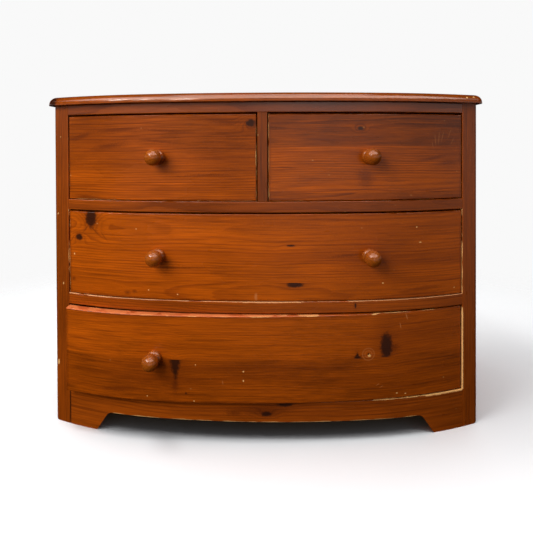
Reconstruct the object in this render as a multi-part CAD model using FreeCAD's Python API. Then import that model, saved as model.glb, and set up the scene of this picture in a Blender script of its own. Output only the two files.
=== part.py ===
import FreeCAD, Part
import math
import os

from FreeCAD import Vector

# Bow front chest of drawers: two short drawers over two long ones, in stained pine.
# Millimetres. +X is to the right of someone facing the front, the front faces -Y, +Z is up.
# Pieces are built with the rear face of the case at y = 0 and the floor at z = 0, and the
# finished part is then moved so that its origin is the middle of its box, on the floor.

# Case
case_width = 900.0
side_depth = 392.0
side_thickness = 18.0
post_width = 36.0
post_depth = 46.0
post_corner_radius = 9.0
arris_radius = 1.5
tongue_thickness = 8.0
tongue_length = 8.0

# Bow of the front: a flat middle arc that runs into a rounder arc at each end
bow_depth = 82.0
bow_middle_share = 0.5
bow_middle_drop_share = 0.176

# Heights, from the floor up
apron_height = 79.0
opening_height = 177.0
lower_rail_height = 23.0
upper_rail_height = 22.0
top_rail_height = 21.0
bottom_rail_height = 20.0
top_thickness = 18.0

# Top board
top_side_overhang = 12.0
top_front_overhang = 14.0
top_back_overhang = 8.0
top_corner_radius = 24.0
top_mould_radius = 16.5
top_lower_radius = 1.0

# Rails, apron and feet
divider_width = 20.0
tenon_length = 14.0
tenon_depth = 20.0
tenon_shoulder = 5.0
divider_tenon_length = 8.0
apron_thickness = 22.0
apron_tenon_thickness = 9.0
arch_height = 40.0
arch_slope_run = 27.0
arch_corner_radius = 16.0
front_foot_width = 102.0
side_foot_width = 100.0
foot_tip_radius = 5.0
foot_corner_radius = 8.0

# Back
back_panel_thickness = 5.0
back_rebate_width = 9.0
back_rail_thickness = 20.0
back_rail_height = 40.0

# Runners, cleats and stops
runner_height = 20.0
runner_reach = 12.0
guide_height = 25.0
guide_clearance = 1.5
run_clearance = 0.3
cleat_width = 20.0
cleat_height = 20.0
stop_length = 30.0
stop_depth = 14.0
stop_height = 8.0
stop_gap = 3.0
stop_place_share = 0.5

# Drawers
front_thickness = 20.0
front_recess = 1.0
front_edge_radius = 2.0
side_gap = 2.0
top_gap = 3.0
bottom_gap = 1.0
box_inset = 13.0
box_side_thickness = 12.0
box_side_drop = 36.7
box_edge_radius = 2.0
box_back_thickness = 12.0
box_back_drop = 10.0
box_back_inset = 8.0
box_bottom_thickness = 5.0
box_bottom_rise = 12.0
box_rear_gap = 12.0
groove_depth = 6.0
rack_clearance = 3.5
rack_pivot_share = 0.8

# Turned knobs and their screws
knob_column = 212.0
bottom_knob_column = 218.0
bottom_hole_column = 209.5
bottom_hole_rise = 5.0
knob_collar_radius = 15.0
knob_collar_height = 9.0
knob_neck_radius = 9.5
knob_neck_height = 11.0
knob_head_radius = 16.5
knob_rim_height = 26.5
knob_length = 43.0
knob_tip_radius = 2.0
knob_hole_radius = 2.5
knob_screw_radius = 2.0
knob_screw_grip = 22.0
knob_screw_head_radius = 4.5
knob_screw_head_height = 2.5
knob_screw_seat_gap = 0.02

# Wood screws and panel nails
screw_radius = 2.0
screw_head_radius = 4.0
screw_bite = 11.0
screw_place_share = 0.3
nail_radius = 0.9
nail_head_radius = 2.2
nail_head_height = 0.8
nail_length = 20.0
nail_side_count = 6
nail_rail_count = 4

# One overrun serves every cut that has to pass a face, one tolerance every choice of edges
overrun = 5.0
tolerance = 0.01

# Bow worked out from its depth and shares
half_width = case_width / 2
bow_joint_x = bow_middle_share * half_width
bow_joint_drop = bow_middle_drop_share * bow_depth
bow_joint_angle = 2 * math.atan2(bow_joint_drop, bow_joint_x)
bow_middle_radius = bow_joint_x / math.sin(bow_joint_angle)
bow_chord_x = half_width - bow_joint_x
bow_chord_y = bow_depth - bow_joint_drop
bow_chord_angle = math.atan2(bow_chord_y, bow_chord_x)
bow_end_radius = math.hypot(bow_chord_x, bow_chord_y) / (2 * math.sin(bow_chord_angle - bow_joint_angle))
bow_crown_y = -(side_depth + bow_depth)
bow_middle_centre_y = bow_crown_y + bow_middle_radius
bow_end_centre_x = bow_joint_x - bow_end_radius * math.sin(bow_joint_angle)
bow_end_centre_y = bow_crown_y + bow_joint_drop + bow_end_radius * math.cos(bow_joint_angle)

# Levels and planes worked out from the sizes
bottom_floor = apron_height
lower_rail_floor = bottom_floor + opening_height
middle_floor = lower_rail_floor + lower_rail_height
upper_rail_floor = middle_floor + opening_height
upper_floor = upper_rail_floor + upper_rail_height
top_rail_floor = upper_floor + opening_height
case_height = top_rail_floor + top_rail_height
opening_half = half_width - post_width
divider_half = divider_width / 2
side_inner = half_width - side_thickness
rail_back_y = post_depth - side_depth
back_panel_y = -back_panel_thickness
back_rail_y = back_panel_y - back_rail_thickness
box_back_y = back_rail_y - box_rear_gap
front_inner_inset = front_recess + front_thickness
housing_inset = front_inner_inset - groove_depth
box_side_x = opening_half - side_gap - box_inset
box_side_height = opening_height - run_clearance - box_side_drop
guide_x = box_side_x + guide_clearance
runner_x = box_side_x - box_side_thickness - runner_reach

nodes = {}


def bow_circle(x, inset):
    """Centre and radius of the bow's arc at x, for a curve set in from the front by inset."""
    middle_radius = bow_middle_radius - inset
    if abs(x) <= middle_radius * math.sin(bow_joint_angle):
        return Vector(0, bow_middle_centre_y, 0), middle_radius
    return Vector(math.copysign(bow_end_centre_x, x), bow_end_centre_y, 0), bow_end_radius - inset


def bow_y(x, inset):
    """Depth of the bow at x, for a curve set in from the front by inset."""
    centre, radius = bow_circle(x, inset)
    return centre.y - math.sqrt(radius ** 2 - (x - centre.x) ** 2)


def bow_normal(x, inset):
    """Outward direction of the bow at x."""
    centre, radius = bow_circle(x, inset)
    return (Vector(x, bow_y(x, inset), 0) - centre).normalize()


def bow_arcs(x0, x1, inset):
    """Edges of the bow from x0 to x1, one for each arc."""
    joint = (bow_middle_radius - inset) * math.sin(bow_joint_angle)
    stops = [x0] + [x for x in (-joint, joint) if x0 + tolerance < x < x1 - tolerance] + [x1]
    arcs = []
    for start, end in zip(stops, stops[1:]):
        points = [Vector(x, bow_y(x, inset), 0) for x in (start, (start + end) / 2, end)]
        arcs.append(Part.Arc(*points).toShape())
    return arcs


def bow_board(x_limits, inset, floor, height, back_y=None, thickness=None):
    """Board whose front follows the bow, with a straight back or one at a constant thickness."""
    x0, x1 = sorted(x_limits)
    front = bow_arcs(x0, x1, inset)
    if thickness is None:
        ends = [Vector(x, back_y, 0) for x in (x0, x1)]
        back = [Part.makeLine(*ends)]
    else:
        ends = [Vector(x, bow_y(x, inset + thickness), 0) for x in (x0, x1)]
        back = bow_arcs(x0, x1, inset + thickness)
    sides = [Part.makeLine(Vector(x, bow_y(x, inset), 0), end) for x, end in zip((x0, x1), ends)]
    outline = Part.Wire(Part.__sortEdges__(front + back + sides))
    board = Part.Face(outline).extrude(Vector(0, 0, height))
    board.translate(Vector(0, 0, floor))
    return board


def block(x_limits, y_limits, z_limits):
    """Box between two limits along each axis, given in either order."""
    low = [min(limits) for limits in (x_limits, y_limits, z_limits)]
    high = [max(limits) for limits in (x_limits, y_limits, z_limits)]
    sizes = [top - bottom for bottom, top in zip(low, high)]
    return Part.makeBox(*sizes, Vector(*low))


def edge_middle(edge):
    return edge.valueAt((edge.FirstParameter + edge.LastParameter) / 2)


def is_level(edge):
    return edge.BoundBox.ZLength < tolerance


def is_upright(edge):
    return max(edge.BoundBox.XLength, edge.BoundBox.YLength) < tolerance


def on_front(edge, inset):
    middle = edge_middle(edge)
    return abs(middle.y - bow_y(middle.x, inset)) < tolerance


def front_level_edges(board, inset):
    return [edge for edge in board.Edges if is_level(edge) and on_front(edge, inset)]


def front_upright_edges(board, inset, x_places):
    """Upright edges of the front at the given x, which leaves out the lines between its arcs."""
    return [edge for edge in board.Edges if is_upright(edge) and on_front(edge, inset)
            and any(abs(edge_middle(edge).x - x) < tolerance for x in x_places)]


def turned(profile, base, direction):
    """Solid of revolution: profile edges are in X (radius) and Z (along the axis)."""
    face = Part.Face(Part.Wire(profile))
    solid = face.revolve(Vector(0, 0, 0), Vector(0, 0, 1), 360)
    solid.Placement = FreeCAD.Placement(base, FreeCAD.Rotation(Vector(0, 0, 1), direction))
    return solid


def polygon_edges(pairs):
    points = [Vector(x, 0, z) for x, z in pairs]
    return [Part.makeLine(a, b) for a, b in zip(points, points[1:] + points[:1])]


def wood_screw(head, direction, length):
    """Countersunk screw whose head lies flush at head and whose point is length away."""
    taper = screw_head_radius - screw_radius
    pairs = [(0, 0), (screw_head_radius, 0), (screw_radius, taper),
             (screw_radius, length - screw_radius), (0, length)]
    return turned(polygon_edges(pairs), head, direction)


def arch_cutter(u_limits, across_limits, along_x):
    """Prism of the cut-out between two feet: sloping sides that round into a straight top."""
    u0, u1 = sorted(u_limits)
    start, end = sorted(across_limits)
    pairs = [(u0, -overrun), (u0, 0), (u0 + arch_slope_run, arch_height),
             (u1 - arch_slope_run, arch_height), (u1, 0), (u1, -overrun)]
    if along_x:
        points = [Vector(u, start, z) for u, z in pairs]
        reach = Vector(0, end - start, 0)
    else:
        points = [Vector(start, u, z) for u, z in pairs]
        reach = Vector(end - start, 0, 0)
    prism = Part.Face(Part.makePolygon(points + points[:1])).extrude(reach)
    corners = [edge for edge in prism.Edges
               if is_level(edge) and abs(edge_middle(edge).z - arch_height) < tolerance
               and abs(edge.Length - reach.Length) < tolerance]
    return prism.makeFillet(arch_corner_radius, corners)


def single(shape):
    """The one solid of a cut or joined shape."""
    assert len(shape.Solids) == 1, "a piece has come apart"
    return shape.Solids[0]


def make_top():
    reach = half_width + top_side_overhang
    inset = -top_front_overhang
    board = bow_board((-reach, reach), inset, case_height, top_thickness, back_y=top_back_overhang)
    board = board.makeFillet(top_corner_radius, front_upright_edges(board, inset, (-reach, reach)))
    for level, radius in ((case_height, top_lower_radius), (case_height + top_thickness, top_mould_radius)):
        rim = [edge for edge in board.Edges if is_level(edge) and abs(edge_middle(edge).z - level) < tolerance
               and edge_middle(edge).y < top_back_overhang - tolerance]
        board = board.makeFillet(radius, rim)
    nodes["top_board"] = board


def make_rail(name, floor, height):
    """Cross rail with a bowed front edge and a tenon at each end."""
    rail = bow_board((-opening_half, opening_half), 0, floor, height, back_y=rail_back_y)
    rail = rail.makeFillet(arris_radius, front_level_edges(rail, 0))
    tenon_y = (rail_back_y - tenon_shoulder, rail_back_y - tenon_shoulder - tenon_depth)
    tenon_z = (floor + tenon_shoulder, floor + height - tenon_shoulder)
    reach = opening_half + tenon_length
    nodes[name] = single(rail.fuse(block((-reach, reach), tenon_y, tenon_z)).removeSplitter())


def make_bottom_rail():
    """Rail behind the apron, under the bottom drawer."""
    floor = bottom_floor - bottom_rail_height
    nodes["bottom_rail"] = bow_board((-opening_half, opening_half), apron_thickness, floor,
                                     bottom_rail_height, back_y=rail_back_y)


def make_apron():
    """Bowed board between the posts, cut out underneath to leave a foot at each end."""
    apron = bow_board((-opening_half, opening_half), 0, 0, apron_height, thickness=apron_thickness)
    upper = [edge for edge in front_level_edges(apron, 0) if edge_middle(edge).z > arch_height]
    apron = apron.makeFillet(arris_radius, upper)
    foot_x = half_width - front_foot_width
    apron = apron.cut(arch_cutter((-foot_x, foot_x), (bow_crown_y - overrun, rail_back_y), True))
    tips = [edge for edge in apron.Edges if is_level(edge) and abs(edge_middle(edge).z) < tolerance
            and abs(abs(edge_middle(edge).x) - foot_x) < tolerance]
    apron = apron.makeFillet(foot_tip_radius, tips)
    tenon_front = bow_y(opening_half + tenon_length, 0) + tenon_shoulder
    for sign in (-1, 1):
        tenon = block((sign * opening_half, sign * (opening_half + tenon_length)),
                      (tenon_front, tenon_front + apron_tenon_thickness),
                      (arch_height, apron_height - tenon_shoulder))
        apron = apron.fuse(tenon)
    nodes["apron"] = single(apron.removeSplitter())


def make_divider():
    """Upright between the two short drawers, with a stub tenon into each rail."""
    divider = bow_board((-divider_half, divider_half), 0, upper_floor, opening_height, back_y=rail_back_y)
    divider = divider.makeFillet(arris_radius, front_upright_edges(divider, 0, (-divider_half, divider_half)))
    tenon_half = divider_half - tenon_shoulder
    tenon = block((-tenon_half, tenon_half),
                  (rail_back_y - tenon_shoulder, rail_back_y - tenon_shoulder - tenon_depth),
                  (upper_floor - divider_tenon_length, upper_floor + opening_height + divider_tenon_length))
    divider = single(divider.fuse(tenon).removeSplitter())
    for rail in ("upper_rail", "top_rail"):
        nodes[rail] = single(nodes[rail].cut(divider))
    nodes["centre_divider"] = divider


def foot_corner(sign):
    """What is worn off the outer lower corner of a post."""
    inner, outer = sign * (half_width - foot_corner_radius), sign * half_width
    corner = block((inner, outer), (bow_crown_y, rail_back_y), (0, foot_corner_radius))
    kept = Part.makeCylinder(foot_corner_radius, rail_back_y - bow_crown_y,
                             Vector(inner, bow_crown_y, foot_corner_radius), Vector(0, 1, 0))
    return corner.cut(kept)


def make_side(name, sign):
    """Front post and side panel of one end, with a tongue between them."""
    inner, outer = sign * opening_half, sign * half_width
    post = bow_board((inner, outer), 0, 0, case_height, back_y=rail_back_y)
    post = post.makeFillet(post_corner_radius, front_upright_edges(post, 0, (outer,)))
    post = post.makeFillet(arris_radius, front_upright_edges(post, 0, (inner,)))
    post = post.cut(foot_corner(sign))
    panel_x = (sign * side_inner, outer)
    panel = block(panel_x, (rail_back_y, 0), (0, case_height))
    rebate = block((sign * (side_inner - overrun), sign * (side_inner + back_rebate_width)),
                   (back_panel_y, overrun), (apron_height - bottom_rail_height, case_height + overrun))
    feet_y = (side_foot_width - side_depth, -side_foot_width)
    across = (sign * (side_inner - overrun), sign * (half_width + overrun))
    panel = panel.cut([rebate, arch_cutter(feet_y, across, False)])
    middle_x = (side_inner + half_width) / 2
    tongue_half = tongue_thickness / 2
    tongue = block((sign * (middle_x - tongue_half), sign * (middle_x + tongue_half)),
                   (rail_back_y, rail_back_y - tongue_length), (0, case_height))
    panel = single(panel.fuse(tongue).removeSplitter())
    joined = [nodes[rail] for rail in ("top_rail", "upper_rail", "lower_rail", "apron")]
    nodes[name + "_front_post"] = single(post.cut([panel] + joined))
    nodes[name + "_side_panel"] = panel


def make_back():
    reach = side_inner + back_rebate_width
    floor = apron_height - bottom_rail_height
    nodes["back_panel"] = block((-reach, reach), (back_panel_y, 0), (floor, case_height))
    rails = {"back_top_rail": case_height - back_rail_height,
             "back_middle_rail": upper_floor - back_rail_height,
             "back_bottom_rail": floor}
    for name, level in rails.items():
        nodes[name] = block((-side_inner, side_inner), (back_rail_y, back_panel_y),
                            (level, level + back_rail_height))


def make_runner(name, sign, floor, guide_face):
    """Runner of one drawer side: a ledge under the side and a guide beside it."""
    along = (rail_back_y, back_rail_y)
    ledge = block((sign * runner_x, sign * side_inner), along, (floor - runner_height, floor))
    guide = block((sign * guide_face, sign * side_inner), along, (floor, floor + guide_height))
    nodes[name] = single(ledge.fuse(guide).removeSplitter())


def make_runners():
    for side, sign in (("left", -1), ("right", 1)):
        make_runner("upper_runner_" + side, sign, upper_floor, guide_x)
        make_runner("middle_runner_" + side, sign, middle_floor, guide_x)
        make_runner("bottom_runner_" + side, sign, bottom_floor, opening_half)
    along = (rail_back_y, back_rail_y)
    ledge_half = divider_half + side_gap + box_inset + box_side_thickness + runner_reach
    guide_half = divider_half + side_gap + box_inset - guide_clearance
    ledge = block((-ledge_half, ledge_half), along, (upper_floor - runner_height, upper_floor))
    guide = block((-guide_half, guide_half), along, (upper_floor, upper_floor + guide_height))
    nodes["centre_runner"] = single(ledge.fuse(guide).removeSplitter())


def make_cleats():
    """Battens that hold the top board to the sides."""
    for side, sign in (("left", -1), ("right", 1)):
        nodes[side + "_top_cleat"] = block((sign * (side_inner - cleat_width), sign * side_inner),
                                           (rail_back_y, back_rail_y),
                                           (case_height - cleat_height, case_height))


def make_stops():
    """Small blocks on the rails that stop each drawer front as it closes."""
    stops = []
    stop_x = stop_place_share * opening_half
    for floor in (bottom_floor, middle_floor, upper_floor):
        for sign in (-1, 1):
            inner = sign * stop_x - stop_length / 2
            outer = sign * stop_x + stop_length / 2
            front_y = max(bow_y(x, front_inner_inset) for x in (inner, outer)) + stop_gap
            stops.append(block((inner, outer), (front_y, front_y + stop_depth), (floor, floor + stop_height)))
    nodes["drawer_stops"] = Part.makeCompound(stops)


def rim_bulge(end_radius, end_height):
    """Middle of the arc that leaves the knob's rim upright and ends at the given point."""
    run = knob_head_radius - end_radius
    rise = end_height - knob_rim_height
    curve = (run ** 2 + rise ** 2) / (2 * run)
    angle = math.atan2(rise, curve - run) / 2
    return knob_head_radius - curve * (1 - math.cos(angle)), knob_rim_height + curve * math.sin(angle)


def knob_profile():
    """Half section of a turned knob: rounded collar, groove and bun head, bored for its screw."""
    collar_round = knob_collar_height / 2
    pairs = {
        "mouth": (knob_screw_radius, 0),
        "collar": (knob_collar_radius, 0),
        "collar_bulge": (knob_collar_radius, collar_round),
        "collar_top": (knob_collar_radius - collar_round, knob_collar_height),
        "neck": (knob_neck_radius, knob_neck_height),
        "under": rim_bulge(knob_neck_radius, knob_neck_height),
        "rim": (knob_head_radius, knob_rim_height),
        "crown": rim_bulge(knob_tip_radius, knob_length),
        "tip": (knob_tip_radius, knob_length),
        "centre": (0, knob_length),
        "bore_end": (0, knob_screw_grip),
        "bore_wall": (knob_screw_radius, knob_screw_grip),
    }
    points = {key: Vector(radius, 0, height) for key, (radius, height) in pairs.items()}
    runs = ["mouth collar", "collar collar_bulge collar_top", "collar_top neck", "neck under rim",
            "rim crown tip", "tip centre", "centre bore_end", "bore_end bore_wall", "bore_wall mouth"]
    edges = []
    for run in runs:
        ends = [points[key] for key in run.split()]
        edges.append(Part.makeLine(*ends) if len(ends) == 2 else Part.Arc(*ends).toShape())
    return edges


def knob_and_screw(x, z):
    """Knob on the face of a drawer front at x, z, with the screw that holds it from inside."""
    base = Vector(x, bow_y(x, front_recess), z)
    outward = bow_normal(x, front_recess)
    head_top = -(front_thickness + knob_screw_seat_gap)
    head_end = head_top - knob_screw_head_height
    pairs = [(0, head_end), (knob_screw_head_radius, head_end),
             (knob_screw_head_radius, head_top), (knob_screw_radius, head_top),
             (knob_screw_radius, knob_screw_grip), (0, knob_screw_grip)]
    screw = turned(polygon_edges(pairs), base, outward)
    return turned(knob_profile(), base, outward), screw


def knob_hole(x, z):
    """Hole through a drawer front for a knob's screw."""
    outward = bow_normal(x, front_recess)
    start = Vector(x, bow_y(x, front_recess), z) - outward * (front_thickness + overrun)
    return Part.makeCylinder(knob_hole_radius, front_thickness + 2 * overrun, start, outward)


def softened_top(board, along):
    """Board with its long upper edges eased."""
    level = board.BoundBox.ZMax
    edges = [edge for edge in board.Edges if is_level(edge) and abs(edge_middle(edge).z - level) < tolerance
             and abs(edge.tangentAt(edge.FirstParameter).dot(along)) > 1 - tolerance]
    return board.makeFillet(box_edge_radius, edges)


def make_drawer(name, x_limits, floor, knob_places, bare_places=(), rack=None):
    """One drawer: bowed front, two sides, back, bottom, knobs and their screws.

    knob_places gives each knob's suffix and x; bare_places gives the x and the rise above the middle of
    holes whose knob is missing.
    """
    x0, x1 = x_limits[0] + side_gap, x_limits[1] - side_gap
    front_floor = floor + bottom_gap
    front_height = opening_height - bottom_gap - top_gap
    knob_z = floor + opening_height / 2
    front = bow_board((x0, x1), front_recess, front_floor, front_height, thickness=front_thickness)
    rim = front_level_edges(front, front_recess) + front_upright_edges(front, front_recess, (x0, x1))
    front = front.makeFillet(front_edge_radius, rim)

    side_floor = floor + run_clearance
    box_x0, box_x1 = x0 + box_inset, x1 - box_inset
    inner_x0, inner_x1 = box_x0 + box_side_thickness, box_x1 - box_side_thickness
    bottom_floor_z = side_floor + box_bottom_rise
    bottom = bow_board((inner_x0 - groove_depth, inner_x1 + groove_depth), housing_inset, bottom_floor_z,
                       box_bottom_thickness, back_y=box_back_y)
    back_y = box_back_y - box_back_inset
    back = block((inner_x0 - groove_depth, inner_x1 + groove_depth), (back_y - box_back_thickness, back_y),
                 (bottom_floor_z + box_bottom_thickness, side_floor + box_side_height - box_back_drop))
    back = softened_top(back, Vector(1, 0, 0))
    pieces = {}
    for side, limits in (("left_side", (box_x0, inner_x0)), ("right_side", (inner_x1, box_x1))):
        board = bow_board(limits, housing_inset, side_floor, box_side_height, back_y=box_back_y)
        board = softened_top(board, Vector(0, 1, 0))
        front = front.cut(board)
        pieces[side] = single(board.cut([bottom, back]))
    pieces["back"] = back
    pieces["bottom"] = bottom
    screws = []
    for suffix, x in knob_places:
        pieces["knob" + suffix], screw = knob_and_screw(x, knob_z)
        screws.append(screw)
    pieces["knob_screws"] = Part.makeCompound(screws)
    holes = [knob_hole(x, knob_z) for suffix, x in knob_places]
    holes += [knob_hole(x, knob_z + rise) for x, rise in bare_places]
    pieces["front"] = single(front.cut([bottom] + holes))
    for key, piece in pieces.items():
        if rack:
            pivot, angle = rack
            piece.rotate(pivot, Vector(0, 0, 1), math.degrees(angle))
        nodes[name + "_" + key] = piece


def bottom_rack():
    """Pivot and angle of the bottom drawer, which stands askew until its rear corner nears the guide."""
    pivot_x = rack_pivot_share * opening_half
    pivot = Vector(pivot_x, bow_y(pivot_x, front_recess), 0)
    play = side_gap + box_inset - rack_clearance
    return pivot, math.asin(play / (box_back_y - pivot.y))


def make_drawers():
    left_middle = -(opening_half + divider_half) / 2
    make_drawer("upper_left_drawer", (-opening_half, -divider_half), upper_floor, [("", left_middle)])
    make_drawer("upper_right_drawer", (divider_half, opening_half), upper_floor, [("", -left_middle)])
    full = (-opening_half, opening_half)
    make_drawer("middle_drawer", full, middle_floor, [("_left", -knob_column), ("_right", knob_column)])
    bare_hole = (bottom_hole_column, bottom_hole_rise)
    make_drawer("bottom_drawer", full, bottom_floor, [("_left", -bottom_knob_column)], [bare_hole], bottom_rack())


def fasten(group, fasteners):
    """Add a node of fasteners, each with its own hole in the pieces that it joins."""
    holes = {}
    for solid, joined in fasteners:
        for name in joined:
            holes.setdefault(name, []).append(solid)
    for name, solids in holes.items():
        nodes[name] = single(nodes[name].cut(solids))
    nodes[group] = Part.makeCompound([solid for solid, joined in fasteners])


def make_top_screws():
    screws = []
    up = Vector(0, 0, 1)
    length = back_rail_y - rail_back_y
    for side, sign in (("left", -1), ("right", 1)):
        cleat_x = sign * (side_inner - cleat_width / 2)
        for share in (screw_place_share, 1 - screw_place_share):
            head = Vector(cleat_x, rail_back_y + share * length, case_height - cleat_height)
            screws.append((wood_screw(head, up, cleat_height + screw_bite),
                           (side + "_top_cleat", "top_board")))
        rail_x = sign * (1 - screw_place_share) * opening_half
        rail_y = (rail_back_y + bow_y(rail_x, 0)) / 2
        screws.append((wood_screw(Vector(rail_x, rail_y, top_rail_floor), up, top_rail_height + screw_bite),
                       ("top_rail", "top_board")))
        back_head = Vector(rail_x, (back_rail_y + back_panel_y) / 2, case_height - back_rail_height)
        screws.append((wood_screw(back_head, up, back_rail_height + screw_bite),
                       ("back_top_rail", "top_board")))
    fasten("top_screws", screws)


def make_runner_screws():
    screws = []
    length = back_rail_y - rail_back_y
    levels = (("upper", upper_floor, guide_x), ("middle", middle_floor, guide_x),
              ("bottom", bottom_floor, opening_half))
    for level, floor, face in levels:
        for side, sign in (("left", -1), ("right", 1)):
            for share in (screw_place_share, 1 - screw_place_share):
                head = Vector(sign * face, rail_back_y + share * length, floor + guide_height / 2)
                screw = wood_screw(head, Vector(sign, 0, 0), side_inner - face + screw_bite)
                screws.append((screw, (level + "_runner_" + side, side + "_side_panel")))
    fasten("runner_screws", screws)


def panel_nail(x, z):
    """Nail driven through the back panel, with its head proud of it."""
    pairs = [(0, -nail_head_height), (nail_head_radius, -nail_head_height), (nail_head_radius, 0),
             (nail_radius, 0), (nail_radius, nail_length - nail_radius), (0, nail_length)]
    return turned(polygon_edges(pairs), Vector(x, 0, z), Vector(0, -1, 0))


def make_nails():
    nails = []
    edge = side_inner + back_rebate_width / 2
    low, high = apron_height, case_height - back_rail_height
    for side, sign in (("left", -1), ("right", 1)):
        for index in range(nail_side_count):
            z = low + (high - low) * index / (nail_side_count - 1)
            nails.append((panel_nail(sign * edge, z), ("back_panel", side + "_side_panel")))
    for rail in ("back_top_rail", "back_middle_rail", "back_bottom_rail"):
        z = nodes[rail].BoundBox.Center.z
        for index in range(nail_rail_count):
            x = edge * (2 * (index + 1) / (nail_rail_count + 1) - 1)
            nails.append((panel_nail(x, z), ("back_panel", rail)))
    fasten("back_nails", nails)


def build():
    make_top()
    make_rail("top_rail", top_rail_floor, top_rail_height)
    make_rail("upper_rail", upper_rail_floor, upper_rail_height)
    make_rail("lower_rail", lower_rail_floor, lower_rail_height)
    make_bottom_rail()
    make_apron()
    make_divider()
    make_side("left", -1)
    make_side("right", 1)
    make_back()
    make_runners()
    make_cleats()
    make_stops()
    make_top_screws()
    make_runner_screws()
    make_nails()
    make_drawers()


def centre_on_floor():
    """Move every piece so that the origin is the middle of the part's box, on the floor."""
    box = Part.makeCompound(list(nodes.values())).optimalBoundingBox(False, False)
    shift = Vector(-box.Center.x, -box.Center.y, -box.ZMin)
    for piece in nodes.values():
        piece.translate(shift)
    return shift


def save():
    os.makedirs("parts", exist_ok=True)
    for name, piece in nodes.items():
        piece.exportStep("parts/" + name + ".step")


build()
shift = centre_on_floor()
save()
print(len(nodes), "nodes, moved by", shift)
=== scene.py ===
"""Looks of the bow front chest of drawers: stained knotty pine, turned knobs, plain studio stage."""
import math
from collections import namedtuple

import bpy
from mathutils import Matrix, Vector

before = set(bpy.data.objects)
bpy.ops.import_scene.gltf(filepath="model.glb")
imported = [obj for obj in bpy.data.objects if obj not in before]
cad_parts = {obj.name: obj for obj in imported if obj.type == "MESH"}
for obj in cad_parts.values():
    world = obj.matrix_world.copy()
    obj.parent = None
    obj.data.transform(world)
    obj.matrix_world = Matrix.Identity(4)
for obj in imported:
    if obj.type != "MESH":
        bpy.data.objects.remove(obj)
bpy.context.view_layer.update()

# Sizes of the chest in metres, as in the construction
case_half_width = 0.450
opening_half_width = 0.414
divider_half_width = 0.010
side_gap = 0.002
bow_depth = 0.082
bow_crown_y = -0.2189
bow_power = 2.73
side_back_y = 0.255
top_front_y = -0.243
apron_arch = 0.040
bottom_floor = 0.079
lower_rail_low = 0.256
middle_floor = 0.279
upper_rail_low = 0.456
upper_floor = 0.478
top_rail_low = 0.655
top_board_low = 0.676
front_low_gap = 0.001
front_high_gap = 0.174

# Camera: place in metres, turns in degrees, lens in pixels and sensor in millimetres
image_pixels = 533
sensor_width = 36.0
focal_pixels = 525.0
camera_place = (0.0337, -1.2558, 0.5821)
camera_yaw = 1.42
camera_roll = -0.21
camera_pitch = 0.6
optical_pixel = 154.6

# Grain of the wood, in metres: length along the grain, width across it
ring_spacing = 0.0046
knob_ring_spacing = 0.0028
ply_ring_spacing = 0.0070
pith_depth = 0.070
ply_pith_depth = 0.200
pith_wander = 0.032
pith_offset = 0.400
ring_wobble = 0.0060
ring_jitter = 0.0012
wander_length = 0.60
wobble_size = (0.18, 0.026)
jitter_size = (0.060, 0.007)
streak_size = (0.26, 0.0030)
band_size = (0.55, 0.014)
fibre_size = (0.060, 0.0024)
pore_size = (0.040, 0.0008)
mottle_size = (0.20, 0.060)
speck_size = (0.034, 0.020)
knot_torn_size = (0.006, 0.006)
mark_torn_size = (0.0024, 0.0024)
wear_patch_size = (0.036, 0.036)
wear_crumb_size = (0.003, 0.003)
seam_width = 0.0008
grain_relief = 0.0006
worn_depth = 0.004
post_worn_depth = 0.008
least_reach = 0.00001

# How strongly each mark covers the colour below it
streak_share = 0.50
band_share = 0.45
pore_share = 0.25
smear_share = 0.65
shade_share = 0.35
halo_share = 0.55
core_share = 0.92
speck_share = 0.30
scratch_share = 0.55
imprint_share = 0.36
worn_share = 0.88
sheen_share = 0.80

# Knots: place along and across the board, half sizes, push on the rings, limits across, how pointed
Knot = namedtuple("Knot", "along across half_length half_height swirl low high pointed",
                  defaults=(2.0, -1.0, 1.0, 0.0))
# Chips, scratches, smears, soft shades, painted glints and a painted knob shadow: place along and across
# the board, half sizes and turn in degrees
Mark = namedtuple("Mark", "along across half_length half_height turn", defaults=(0.0,))
# Boards glued side by side: low edge, high edge, lightness, and how softly it starts
Board = namedtuple("Board", "low high light blend", defaults=(0.0,))
# Bands along the edges of a face, for wear and for painted edge shade: corners of the face, reach from
# left, right, bottom and top, how unbroken, how deep
WornAndShadedEdge = namedtuple("WornAndShadedEdge", "low high left right bottom top fill deep",
                  defaults=(0.0, 0.0, 0.0, 0.0, 0.0, worn_depth))
# One stretch of a worn arris: where it starts and ends along the board, its reach, and how unbroken it is
Arris = namedtuple("Arris", "start end reach fill")

# Boards, knots and marks of each piece
# The shades lists are soft darker patches laid over in the dark stain: most are painted shade where the
# light falls off across a face, the rest darker tone in the wood
middle_seam = 0.318
bottom_seam = 0.165
bare_hole = (0.2095, 0.1725)
upper_left_boards = [Board(upper_floor, top_rail_low, 0.92), Board(0.554, top_rail_low, 0.67, 0.045)]
upper_left_knots = [Knot(-0.023, 0.6335, 0.0115, 0.0085, 5.0)]
upper_left_smears = [Mark(-0.382, 0.610, 0.040, 0.0070, 18.0), Mark(-0.300, 0.622, 0.070, 0.0055, 3.0),
                     Mark(-0.200, 0.620, 0.070, 0.0045, -3.0), Mark(-0.319, 0.589, 0.050, 0.0080, 6.0),
                     Mark(-0.200, 0.597, 0.060, 0.0040, -5.0), Mark(-0.370, 0.484, 0.045, 0.0060, -3.0),
                     Mark(-0.120, 0.530, 0.080, 0.0035, 2.0), Mark(-0.070, 0.636, 0.060, 0.0080, -4.0)]
upper_left_shades = [Mark(-0.360, 0.595, 0.130, 0.0600), Mark(-0.070, 0.570, 0.110, 0.0700)]
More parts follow.
